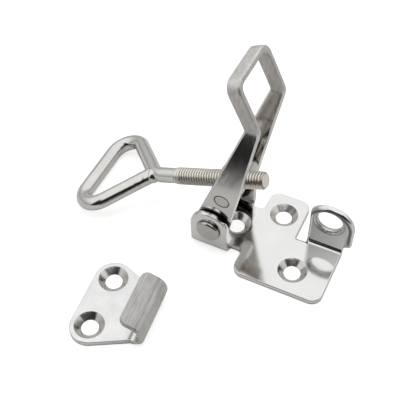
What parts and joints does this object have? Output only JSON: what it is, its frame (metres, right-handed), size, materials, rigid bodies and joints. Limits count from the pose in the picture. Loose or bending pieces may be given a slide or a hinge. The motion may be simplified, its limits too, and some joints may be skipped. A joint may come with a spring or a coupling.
{
  "type": "over centre toggle latch",
  "caption": "Adjustable over-centre toggle latch in stainless steel: folded handle, threaded wire loop, padlock eye and hook plate.",
  "frame": {"origin": "middle of the screw hole between the two ears, on the mounting face of the base plate", "axes": "+Z away from the surface the latch is screwed to; +X from the handle's pivot towards the padlock tab, the way the handle closes; +Y along the pivot"},
  "size_m": [0.0961, 0.0812, 0.0751],
  "materials": {
    "plate_steel": "polished",
    "rivet_steel": "polished",
    "handle_steel": "satin",
    "rod_steel": "satin",
    "hook_steel": "brushed"
  },
  "bodies": {
    "base": {"base_plate": "plate_steel", "pivot_rivets": "rivet_steel", "strike_plate": "hook_steel"},
    "handle": {"handle": "handle_steel"},
    "trunnion": {"trunnion": "handle_steel"},
    "rod": {"pull_rod": "rod_steel"}
  },
  "joints": [
    {"name": "handle_pivot", "type": "hinge", "parent": "base", "child": "handle", "pos_m": [-0.0047, 0, 0.0104], "axis": [0, 1, 0], "range_deg": [0, 81.2]},
    {"name": "trunnion_swivel", "type": "hinge", "parent": "handle", "child": "trunnion", "pos_m": [-0.00097, 0, 0.02452], "axis": [0, 1, 0], "range_deg": [-63, 0]},
    {"name": "rod_adjust", "type": "slide", "parent": "trunnion", "child": "rod", "axis": [0.9249, 0, 0.3803], "range_m": [0, 0.012]}
  ],
  "couplings": [
    {"joint": "trunnion_swivel", "follows": "handle_pivot", "ratio": -0.774}
  ]
}
